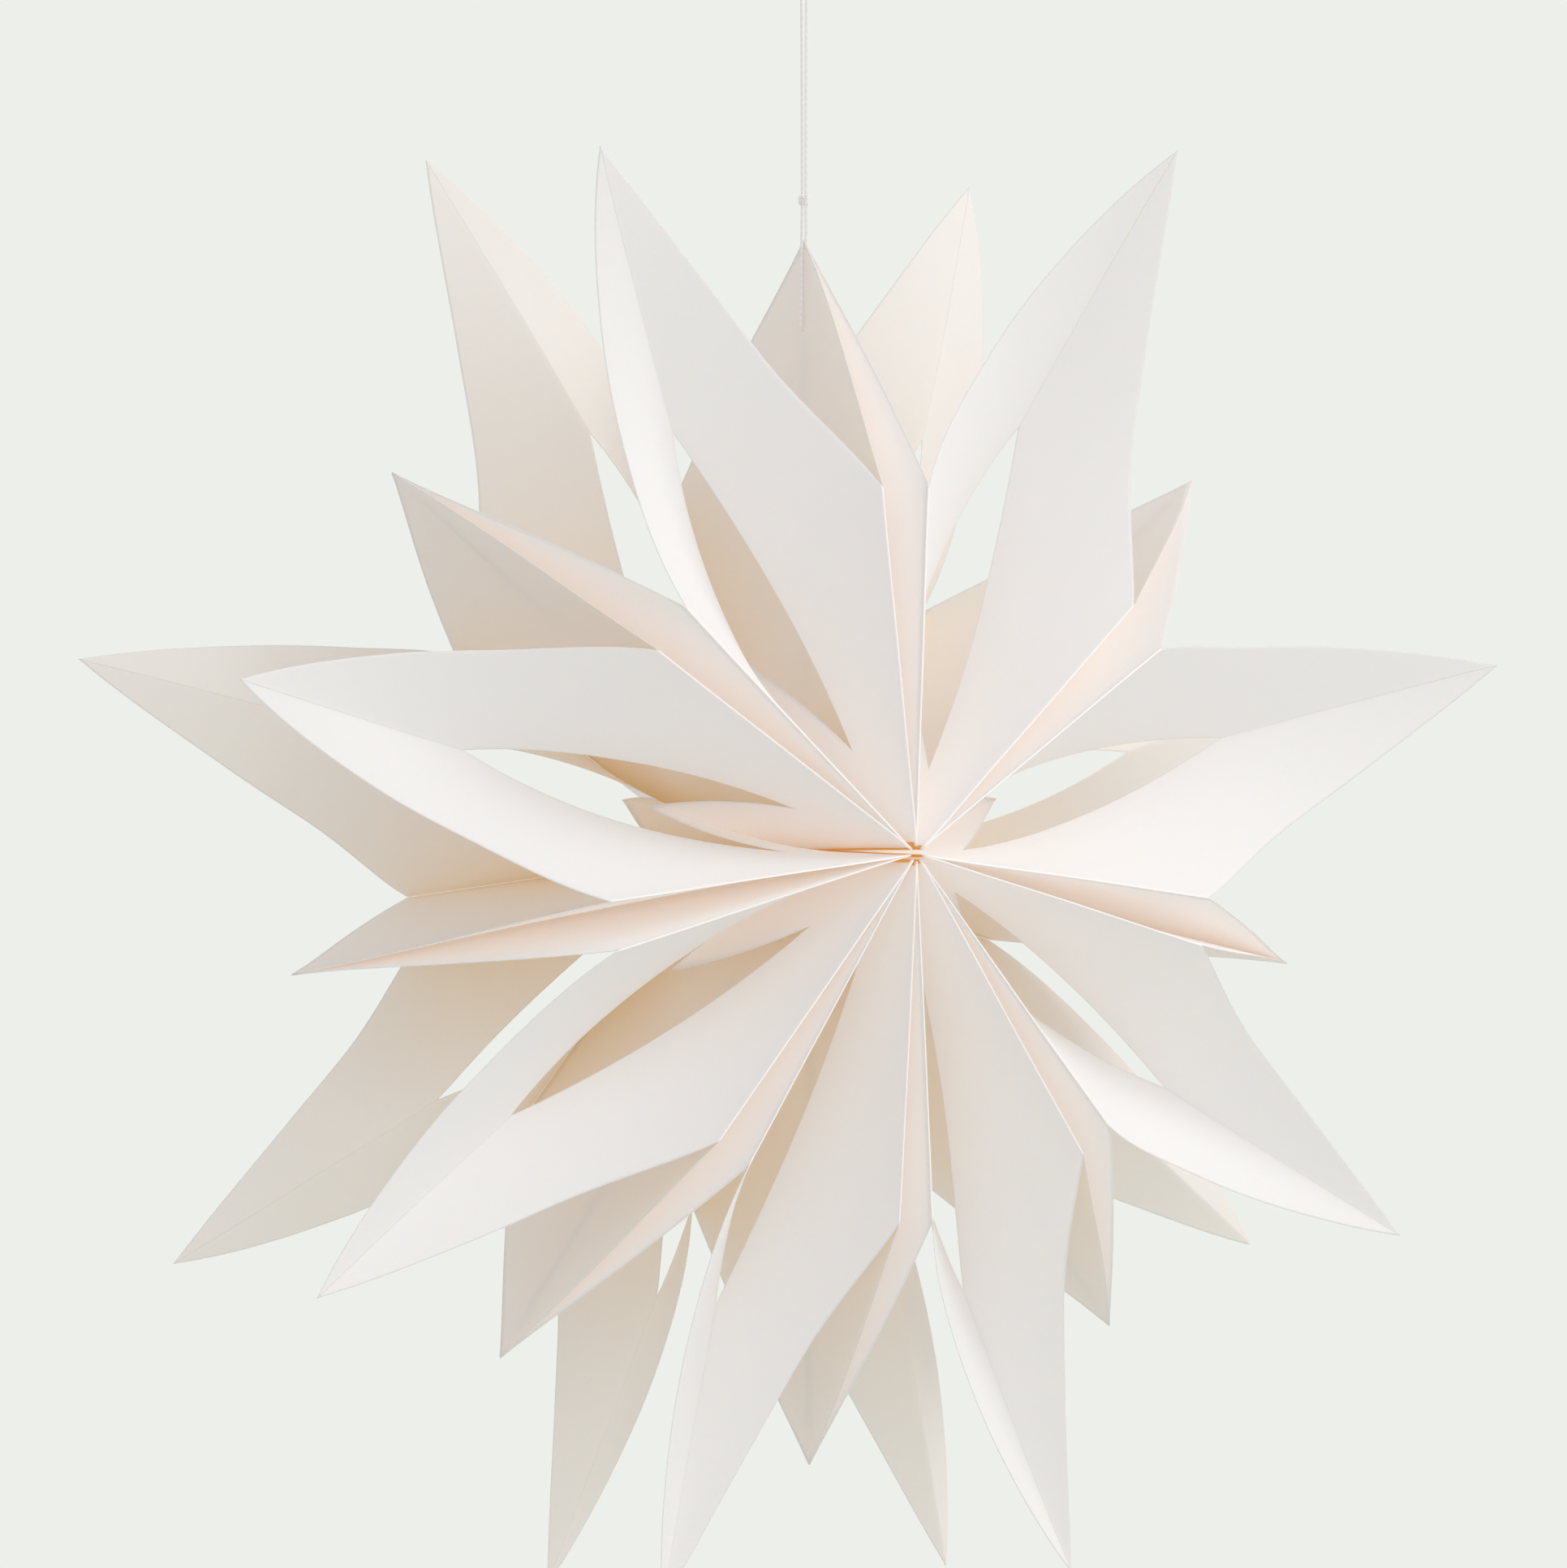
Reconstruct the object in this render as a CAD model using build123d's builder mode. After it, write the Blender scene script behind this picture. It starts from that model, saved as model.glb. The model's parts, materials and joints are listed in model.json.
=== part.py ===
"""A hanging paper star: eight gusseted paper bags glued side by side around a front-to-back axis.

Each bag is two radial panels joined by a front and a back gusset that fold inwards along a crease.
The star hangs by a thread through the panels at its top, where the ring of bags is closed with tape.
Undone there, the star folds up like a fan about its axis. Millimetres, +Z up, -Y is the star's front,
and the origin is the point where the hook carries the cord.
"""

import os
from math import cos, radians, sin, tan

from build123d import *

# Paper
PAPER = 0.25
GLUE = 0.06
GLUE_ROOM = 0.12  # gap between two glued panels, which the adhesive fills
BOND_START = 5.5
BAR_WIDTH = 6.0
BAR_INSET = 5.0
LINE_WIDTH = 5.0
GLUE_END = 225.0

# Bag: a flattened tube, closed at the star's axis and open at its pointed outer end
DEPTH = 145.0  # front edge to back edge
GUSSET = 71.3  # front edge to crease, measured on the paper
EDGE_LENGTH = 140.5  # from the axis to where the outline leaves the panel's front and back edges
PANEL_TIP = 239.0
GUSSET_TIP = 300.0
PANEL_START = 4.5
GUSSET_START = 9.0
SHEET_MARGIN = 1.02
EDGE_GAP = 0.5  # the gusset is free of the panels by this much, so that the fold can move

# Opening of each bag in degrees, from the top going round by the left; the weight of the star
# opens the upper bags wider than the lower ones
OPENINGS = (50.8, 47.8, 42.4, 36.6, 37.5, 41.6, 49.8, 53.5)
BAGS = len(OPENINGS)
SEAM_ANGLE = 92.2
FLARE_SHARE = 0.082  # glued panels part towards their edges by this share of the openings beside them
FLARE_POWER = 1.6
FLARE_FROM = 10.0
FLARE_ROOM = 30.0  # half of the widest gap that a flared panel can need
OUTLINE_BOW = 3.0
FRONT_TWIST = 0.7  # the front creases lie this far counter-clockwise of the middle of their bag, in degrees
BACK_TWIST = -1.1

# The cord pulls the middle of the top panels upright by this much at their tip
SEAM_PULL = 5.9
PULL_FROM = 20.0
PULL_POWER = 1.5
SEAM_STATIONS = (PULL_FROM, 60.0, 110.0, 155.0, 200.0)

# Cut-out along each crease, with a pointed tongue of paper left in it.
# Shares run from 0 on the crease to 1 at the panel's edge.
CUT_TIP = 182.0
CUT_STATIONS = ((123.0, 0.25), (83.0, 0.42))
CUSP = (41.0, 0.6)
TONGUE_STATION = (63.0, 0.3)
TONGUE_TIP = 84.0
OUTLINE_STATIONS = ((187.0, 0.57), (236.0, 0.29))

# The gusset's crease lies deep in the bag at the axis and rises towards the tip
TIP_DEPTH_FOLDED = 129.7  # depth that the tip would have in a flat folded bag
TIP_RISE = 348.5  # how much it rises, times the sine of half the opening
CREASE_POWER = 1.5

# Thread and cord
THREAD_HOLE = 204.0
HOLE_RADIUS = 1.6
CORD = 1.3
KNOT_AT = 254.5
KNOT_RADIUS = 2.4
KNOT_HALF_HEIGHT = 2.3
KNOT_GAP = 0.05
STRAND_OUT = 1.5  # each strand of the thread from the seam's middle plane, at the hole
STRAND_IN = 0.85  # and at the knot
STRAND_BELOW_HOOK = 0.9
HOOK_DROP = 15.0  # the strands start to part this far below the hook
HOOK_SPREAD = 2.2
HANG_HEIGHT = 355.0  # the hook above the star's axis


def seam_pull(radius: float, y: float) -> float:
    """How far clockwise the cord pulls the top panels at a point."""
    grown = max(0.0, (radius - PULL_FROM) / (PANEL_TIP - PULL_FROM)) ** PULL_POWER
    return SEAM_PULL * grown * (1 - min(1.0, abs(2 * y / DEPTH)) ** 2)


# The star's axis, placed so that the knot is straight below the hook
SEAM_TURN = radians(SEAM_ANGLE)
CENTRE = Vector(-KNOT_AT * cos(SEAM_TURN) - seam_pull(KNOT_AT, 0) * sin(SEAM_TURN), 0, -HANG_HEIGHT)

# The plane through the middle of the star, seen from the front
FRONT_PLANE = Plane(origin=CENTRE, x_dir=(1, 0, 0), z_dir=(0, -1, 0))

os.makedirs("parts", exist_ok=True)


def boundary_angles() -> list[float]:
    """Angle of each glued boundary, counter-clockwise seen from the front; first and last are the seam."""
    angles = [SEAM_ANGLE]
    for opening in OPENINGS:
        angles.append(angles[-1] + opening)
    return angles


ANGLES = boundary_angles()


def flare(boundary: int) -> float:
    """Angle by which the front edge of a panel stands off its glued boundary."""
    before = OPENINGS[(boundary - 1) % BAGS]
    after = OPENINGS[boundary % BAGS]
    return FLARE_SHARE * (before + after) / 2


def boundary_plane(boundary: int) -> Plane:
    """Plane of a glued boundary: x outwards, y to the back, z across it, counter-clockwise from the front."""
    angle = radians(ANGLES[boundary])
    outwards = Vector(cos(angle), 0, sin(angle))
    return Plane(origin=CENTRE, x_dir=outwards, z_dir=outwards.cross(Vector(0, 1, 0)))


def steps(start: float, end: float, count: int) -> list[float]:
    """Evenly spaced values, both ends included."""
    return [start + (end - start) * i / (count - 1) for i in range(count)]


def panel_section(boundary: int, side: int, radius: float) -> Face:
    """Thin curved cross-section of a panel; side is 1 counter-clockwise of the boundary, -1 clockwise."""
    plane = boundary_plane(boundary)
    rise = max(0.0, radius - FLARE_FROM) * tan(radians(flare(boundary)))
    inner, outer = [], []
    for y in steps(-DEPTH / 2 - 1, DEPTH / 2 + 1, 9):
        stand_off = GLUE_ROOM / 2 + rise * abs(2 * y / DEPTH) ** FLARE_POWER
        pull = seam_pull(radius, y) if boundary in (0, BAGS) else 0.0
        inner.append((y, side * stand_off - pull))
        outer.append((y, side * (stand_off + PAPER) - pull))
    origin = plane.from_local_coords(Vector(radius, 0, 0))
    with BuildSketch(Plane(origin=origin, x_dir=(0, 1, 0), z_dir=plane.x_dir)) as section:
        with BuildLine():
            Spline(*inner)
            Line(inner[-1], outer[-1])
            Spline(*reversed(outer))
            Line(outer[0], inner[0])
        make_face()
    return section.sketch.face()


def panel(boundary: int, side: int, name: str, threaded: bool) -> None:
    """One radial panel, trimmed to its pointed outline and written out."""
    half = DEPTH / 2
    middle = ((EDGE_LENGTH + PANEL_TIP) / 2 + OUTLINE_BOW, half / 2 + OUTLINE_BOW)
    bends = SEAM_STATIONS if boundary in (0, BAGS) else ()
    stations = (PANEL_START - 1, FLARE_FROM, *bends, PANEL_TIP + 2)
    sections = [panel_section(boundary, side, radius) for radius in stations]
    with BuildPart() as piece:
        loft(sections=sections, ruled=True)
        with BuildSketch(boundary_plane(boundary)):
            with BuildLine():
                Polyline((EDGE_LENGTH, half), (PANEL_START, half), (PANEL_START, -half), (EDGE_LENGTH, -half))
                ThreePointArc((EDGE_LENGTH, -half), (middle[0], -middle[1]), (PANEL_TIP, 0))
                ThreePointArc((PANEL_TIP, 0), middle, (EDGE_LENGTH, half))
            make_face()
            if threaded:
                with Locations((THREAD_HOLE, 0)):
                    Circle(HOLE_RADIUS, mode=Mode.SUBTRACT)
        extrude(amount=FLARE_ROOM, both=True, mode=Mode.INTERSECT)
    write(piece, name)


def opening_halves(bag: int, front: int) -> tuple[float, float, float]:
    """Angle of a crease and the angles from it to the edges of the two panels. Front is -1, or 1 for the back."""
    low = ANGLES[bag] + flare(bag)
    high = ANGLES[bag + 1] - flare(bag + 1)
    crease = (ANGLES[bag] + ANGLES[bag + 1]) / 2 + (FRONT_TWIST if front < 0 else BACK_TWIST)
    return crease, high - crease, crease - low


def tip_depth(half_angle: float) -> float:
    """Depth of a gusset's tip behind the front edges: a wide open bag pushes its tips outwards."""
    return TIP_DEPTH_FOLDED - TIP_RISE * sin(radians(half_angle))


def crease_depth(radius: float, half_angle: float) -> float:
    """Depth of the crease behind the front edges."""
    return GUSSET - (GUSSET - tip_depth(half_angle)) * (radius / GUSSET_TIP) ** CREASE_POWER


def gusset_section(bag: int, front: int, side: int, distance: float) -> Face:
    """Thin cross-section of half a gusset at a distance from the axis, from the panel's edge to the crease."""
    middle, left, right = opening_halves(bag, front)
    turn = radians(middle)
    reach = left if side > 0 else right
    edge_y = front * DEPTH / 2
    crease = Vector(0, edge_y - front * crease_depth(distance, (left + right) / 2))
    edge = Vector(side * distance * tan(radians(reach)) * SHEET_MARGIN, edge_y)
    along = (edge - crease).normalized()
    skin = Vector(-along.Y, along.X) * (PAPER / 2)
    crease = crease - along * (PAPER / 2)
    corners = (edge + skin, crease + skin, crease - skin, edge - skin)
    outwards = Vector(cos(turn), 0, sin(turn))
    across = Plane(origin=CENTRE + outwards * distance, x_dir=(-sin(turn), 0, cos(turn)), z_dir=outwards)
    with BuildSketch(across) as section:
        Polygon(*[(point.X, -point.Y) for point in corners], align=None)
    return section.sketch.face()


def fanned(bag: int, front: int, radius: float, share: float) -> tuple[float, float]:
    """A point of a gusset's outline seen from the front, from its radius and its share of the half opening."""
    middle, left, right = opening_halves(bag, front)
    reach = left if share > 0 else right
    edge = max(0.0, abs(share) * radians(reach) - EDGE_GAP / radius)
    turn = radians(middle) + (edge if share > 0 else -edge)
    return radius * cos(turn), radius * sin(turn)


def both_sides(bag: int, front: int, stations: tuple) -> tuple[list, list]:
    """Outline points on one side of the crease, outwards, and back on the other."""
    there = [fanned(bag, front, radius, share) for radius, share in stations]
    back = [fanned(bag, front, radius, -share) for radius, share in reversed(stations)]
    return there, back


def gusset(bag: int, front: int, name: str) -> None:
    """A folded gusset with its cut-out, written out. Front is -1 for the front and +1 for the back."""
    stations = (GUSSET_START - 2, 40, 80, 140, 220, GUSSET_TIP + 3)
    halves = [[gusset_section(bag, front, side, distance) for distance in stations] for side in (1, -1)]
    tip, cut_tip, tongue_tip = (fanned(bag, front, radius, 0) for radius in (GUSSET_TIP, CUT_TIP, TONGUE_TIP))
    start_left, start_right = (fanned(bag, front, GUSSET_START, share) for share in (1, -1))
    rise, fall = both_sides(bag, front, ((EDGE_LENGTH, 1.0),) + OUTLINE_STATIONS)
    cut_rise, cut_fall = both_sides(bag, front, (CUSP,) + CUT_STATIONS[::-1])
    tongue_rise, tongue_fall = both_sides(bag, front, (CUSP, TONGUE_STATION))
    with BuildPart() as piece:
        for sections in halves:
            loft(sections=sections, ruled=True)
        with BuildSketch(FRONT_PLANE):
            with BuildLine():
                Polyline(fall[-1], start_right, start_left, rise[0])
                Spline(*rise, tip)
                Spline(tip, *fall)
            make_face()
            with BuildLine():
                Spline(*cut_rise, cut_tip)
                Spline(cut_tip, *cut_fall)
                Spline(tongue_fall[-1], tongue_fall[0], tongue_tip)
                Spline(tongue_tip, tongue_rise[1], tongue_rise[0])
            make_face(mode=Mode.SUBTRACT)
        extrude(amount=DEPTH, both=True, mode=Mode.INTERSECT)
    write(piece, name)


def glue_bar(boundary: int) -> Face:
    """Outline of the bar of adhesive along the axis."""
    with BuildSketch(boundary_plane(boundary)) as bar:
        with Locations((BOND_START + BAR_WIDTH / 2, 0)):
            Rectangle(BAR_WIDTH, DEPTH - 2 * BAR_INSET)
    return bar.sketch.face()


def glue_strip(boundary: int, name: str) -> None:
    """Adhesive between two panels: a bar along the axis and a line outwards along the panels' middle."""
    with BuildPart() as piece:
        extrude(glue_bar(boundary), amount=GLUE / 2, both=True)
        with BuildSketch(boundary_plane(boundary)):
            with Locations(((BOND_START + GLUE_END) / 2, 0)):
                Rectangle(GLUE_END - BOND_START, LINE_WIDTH)
        extrude(amount=GLUE / 2, both=True)
    write(piece, name)


def tape_section(radius: float) -> Face:
    """Cross-section of the closing tape, which bends with the panels that it joins."""
    plane = boundary_plane(0)
    origin = plane.from_local_coords(Vector(radius, 0, -seam_pull(radius, 0)))
    with BuildSketch(Plane(origin=origin, x_dir=(0, 1, 0), z_dir=plane.x_dir)) as section:
        Rectangle(LINE_WIDTH, GLUE)
    return section.sketch.face()


def closing_tape() -> None:
    """Double-sided tape that closes the ring of bags at the top."""
    with BuildPart() as piece:
        extrude(glue_bar(0), amount=GLUE / 2, both=True)
        loft(sections=[tape_section(radius) for radius in (BOND_START, *SEAM_STATIONS)], ruled=True)
    write(piece, "closing_tape")


def seam_point(across: float, radius: float) -> Vector:
    """A point in the cross-section of the top seam at the star's middle depth."""
    return boundary_plane(0).from_local_coords(Vector(radius, 0, across - seam_pull(radius, 0)))


def cord_tube(points: list, radii: list[float], name: str) -> None:
    """A round cord along straight runs joined by arcs."""
    with BuildPart() as piece:
        with BuildLine() as path:
            FilletPolyline(*points, radius=radii)
        with BuildSketch(Plane(origin=path.line @ 0, z_dir=path.line % 0)):
            Circle(CORD / 2)
        sweep()
    print(f"{name}: {path.wire().length:.1f} mm long, radii {radii}")
    write(piece, name)


def knot() -> None:
    """The round knot above the seam's tip, flat where the strands meet it."""
    centre = seam_point(0, KNOT_AT)
    with BuildPart() as piece:
        with BuildSketch(Plane(origin=centre, x_dir=(1, 0, 0), z_dir=(0, -1, 0))):
            Ellipse(KNOT_RADIUS, KNOT_HALF_HEIGHT * 1.1)
            Rectangle(KNOT_RADIUS * 3, KNOT_HALF_HEIGHT * 2, mode=Mode.INTERSECT)
            with Locations((-KNOT_RADIUS * 2, 0)):
                Rectangle(KNOT_RADIUS * 4, KNOT_RADIUS * 4, mode=Mode.SUBTRACT)
        revolve(axis=Axis(centre, (0, 0, 1)))
    write(piece, "cord_knot")


def write(piece: BuildPart, name: str) -> None:
    """Labels a finished piece and writes its STEP file."""
    piece.part.label = name
    export_step(piece.part, f"parts/{name}.step")


for number in range(BAGS):
    bag_name = f"bag_{number + 1}"
    panel(number, 1, f"{bag_name}_right_panel", threaded=number == 0)
    panel(number + 1, -1, f"{bag_name}_left_panel", threaded=number == BAGS - 1)
    gusset(number, -1, f"{bag_name}_front_gusset")
    gusset(number, 1, f"{bag_name}_back_gusset")

for number in range(1, BAGS):
    glue_strip(number, f"glue_strip_{number}_{number + 1}")
closing_tape()

knot()
below = KNOT_AT - KNOT_HALF_HEIGHT - KNOT_GAP
cord_tube(
    [
        seam_point(-STRAND_IN, below),
        seam_point(-STRAND_OUT, THREAD_HOLE),
        seam_point(STRAND_OUT, THREAD_HOLE),
        seam_point(STRAND_IN, below),
    ],
    [1.2, 1.2],
    "thread_loop",
)
above = seam_point(0, KNOT_AT) + Vector(0, 0, KNOT_HALF_HEIGHT + KNOT_GAP)
cord_tube(
    [
        above + Vector(-STRAND_IN, 0, 0),
        Vector(-STRAND_BELOW_HOOK, 0, -HOOK_DROP),
        Vector(-HOOK_SPREAD, 0, CORD),
        Vector(HOOK_SPREAD, 0, CORD),
        Vector(STRAND_BELOW_HOOK, 0, -HOOK_DROP),
        above + Vector(STRAND_IN, 0, 0),
    ],
    [90.0, 1.9, 1.9, 90.0],
    "hanging_cord",
)
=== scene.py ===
"""Looks of a hanging paper star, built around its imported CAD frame.

Eight gusseted paper bags are glued side by side around a front-to-back axis and hang by a knotted cord.
Metres, +Z up, -Y is the star's front, and the origin is the point where the hook carries the cord.
"""

from __future__ import annotations

import json
import logging
import math
from collections.abc import Callable, Sequence
from dataclasses import dataclass
from enum import Enum

import bmesh
import bpy
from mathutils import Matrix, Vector, noise

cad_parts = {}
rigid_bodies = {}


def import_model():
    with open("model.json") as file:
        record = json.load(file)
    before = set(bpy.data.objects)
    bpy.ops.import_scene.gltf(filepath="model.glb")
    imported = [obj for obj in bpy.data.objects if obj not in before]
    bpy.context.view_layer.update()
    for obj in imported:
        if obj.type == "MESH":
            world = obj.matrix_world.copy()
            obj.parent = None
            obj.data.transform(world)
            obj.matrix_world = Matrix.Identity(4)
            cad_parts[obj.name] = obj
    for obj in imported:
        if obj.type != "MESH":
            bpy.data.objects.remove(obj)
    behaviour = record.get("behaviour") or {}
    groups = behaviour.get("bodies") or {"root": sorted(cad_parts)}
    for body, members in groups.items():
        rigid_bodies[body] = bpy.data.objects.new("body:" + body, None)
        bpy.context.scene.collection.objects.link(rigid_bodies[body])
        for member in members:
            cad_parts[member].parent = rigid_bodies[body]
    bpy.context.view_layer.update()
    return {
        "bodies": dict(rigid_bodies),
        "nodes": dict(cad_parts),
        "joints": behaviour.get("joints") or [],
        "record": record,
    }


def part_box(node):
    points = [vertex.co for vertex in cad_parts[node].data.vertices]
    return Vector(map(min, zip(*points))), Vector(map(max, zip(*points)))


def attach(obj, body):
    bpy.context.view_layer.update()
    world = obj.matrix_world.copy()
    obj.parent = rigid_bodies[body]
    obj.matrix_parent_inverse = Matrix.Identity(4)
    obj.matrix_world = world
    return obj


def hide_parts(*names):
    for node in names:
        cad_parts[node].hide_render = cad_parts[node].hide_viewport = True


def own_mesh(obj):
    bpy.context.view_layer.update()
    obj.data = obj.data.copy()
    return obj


log = logging.getLogger("paper_star")
MM = 0.001
Place = Callable[[float, float], Vector]
Colour = tuple[float, float, float]


class Side(Enum):
    """The two halves of a bag, by the panel that each belongs to, seen from the front."""

    RIGHT = 1
    LEFT = -1


class Face(Enum):
    """The star's front and back, by the sign of their depth."""

    FRONT = -1
    BACK = 1


def lerp(start: float, end: float, share: float) -> float:
    """The value a share of the way from start to end."""
    return start + (end - start) * share


def curve_through(points: Sequence[tuple[float, float]], value: float) -> float:
    """A smooth curve through a few points.

    Args:
        points: (x, y) pairs in rising x.
        value: The x to read the curve at, held at the ends.

    Returns:
        The curve's y, by a monotone cubic between the points.
    """
    if value <= points[0][0]:
        return points[0][1]
    if value >= points[-1][0]:
        return points[-1][1]
    slopes = [(b[1] - a[1]) / (b[0] - a[0]) for a, b in zip(points, points[1:])]
    tangents = [slopes[0]]
    for before, after in zip(slopes, slopes[1:]):
        tangents.append(0.0 if before * after <= 0 else 2 * before * after / (before + after))
    tangents.append(slopes[-1])
    index = max(i for i, point in enumerate(points[:-1]) if point[0] <= value)
    (x0, y0), (x1, y1) = points[index], points[index + 1]
    span = x1 - x0
    t = (value - x0) / span
    return (
        y0 * (1 + 2 * t) * (1 - t) ** 2
        + y1 * t * t * (3 - 2 * t)
        + span * tangents[index] * t * (1 - t) ** 2
        - span * tangents[index + 1] * t * t * (1 - t)
    )


@dataclass(frozen=True)
class BagPlan:
    """Sizes of one bag, on the paper and folded.

    Shares of the half opening run from 0 on the crease to 1 at the panel's edge.
    """

    depth: float = 145 * MM
    gusset: float = 71.3 * MM
    edge_length: float = 140.5 * MM
    panel_tip: float = 239 * MM
    gusset_tip: float = 300 * MM
    start: float = 2.9 * MM
    paper: float = 0.25 * MM
    glue_room: float = 0.12 * MM
    flare_share: float = 0.082
    flare_power: float = 1.6
    flare_from: float = 10 * MM
    outline_bow: float = 3 * MM
    cusp: tuple[float, float] = (41 * MM, 0.6)
    outline: tuple[tuple[float, float], ...] = (
        (0.0, 300 * MM),
        (0.29, 236 * MM),
        (0.57, 187 * MM),
        (1.0, 140.5 * MM),
    )
    cut_tip: float = 182 * MM
    tongue_tip: float = 84 * MM
    fold: float = 0.9 * MM
    crease_round: float = 0.8 * MM
    crease_crowding: float = 1.8
    front_twist: float = math.radians(0.7)
    back_twist: float = math.radians(-1.1)
    pull: float = 5.9 * MM
    pull_from: float = 20 * MM
    pull_power: float = 1.5

    def tip_depth(self, half_opening: float) -> float:
        """Depth of a gusset's tip behind the front edges: a wide open bag pushes its tips outwards."""
        return (129.7 - 348.5 * math.sin(half_opening)) * MM

    def seam_pull(self, radius: float, depth: float) -> float:
        """How far clockwise the cord pulls the panels at the top seam."""
        grown = max(0.0, (radius - self.pull_from) / (self.panel_tip - self.pull_from)) ** self.pull_power
        return self.pull * grown * (1 - min(1.0, abs(2 * depth / self.depth)) ** 2)

    def crease_depth(self, radius: float, half_opening: float) -> float:
        """Depth of the crease behind the front edges."""
        run_out = self.gusset - self.tip_depth(half_opening)
        return self.gusset - run_out * (radius / self.gusset_tip) ** 1.5


class Ring:
    """The star's layout, read from the frame: its axis, its glued boundaries and how far each bag closes."""

    SEAM_ANGLE = math.radians(92.2)

    def __init__(self, frame: dict) -> None:
        """Reads the layout.
        """
        folds = [joint for joint in frame["joints"] if joint["name"].endswith("_fold")]
        self.folds = sorted(folds, key=lambda joint: joint["name"])
        self.centre = Vector(self.folds[0]["pos_m"])
        self.bags = len(self.folds)
        strips = [f"glue_strip_{number}_{number + 1}" for number in range(1, self.bags)]
        self.angles = [self.SEAM_ANGLE] + [self._angle_of(strip) for strip in strips]
        for number in range(1, self.bags):
            while self.angles[number] < self.angles[number - 1]:
                self.angles[number] += math.tau
        self.angles.append(self.angles[0] + math.tau)

    def _angle_of(self, node: str) -> float:
        """Angle of a boundary about the axis, counter-clockwise seen from the front."""
        low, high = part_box(node)
        middle = (Vector(low) + Vector(high)) / 2 - self.centre
        return math.atan2(middle.z, middle.x)

    def opening(self, bag: int) -> float:
        """Angle between a bag's two boundaries; bags count from 0."""
        return self.angles[bag % self.bags + 1] - self.angles[bag % self.bags]

    def flare(self, boundary: int, plan: BagPlan) -> float:
        """Angle by which the front edges beside a boundary stand off it."""
        return plan.flare_share * (self.opening(boundary - 1) + self.opening(boundary)) / 2

    def closed_share(self, bag: int) -> float:
        """What is left of a bag's thickness once it is folded."""
        opening = self.opening(bag)
        closed = opening - math.radians(self.folds[bag]["range_deg"][1])
        return math.tan(closed / 2) / math.tan(opening / 2)

    def body(self, boundary: int) -> str:
        """Name of the body that carries the panels at a boundary."""
        if boundary == 0:
            return "seam_right"
        if boundary == self.bags:
            return "seam_left"
        return f"pair_{boundary}_{boundary + 1}"


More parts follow.
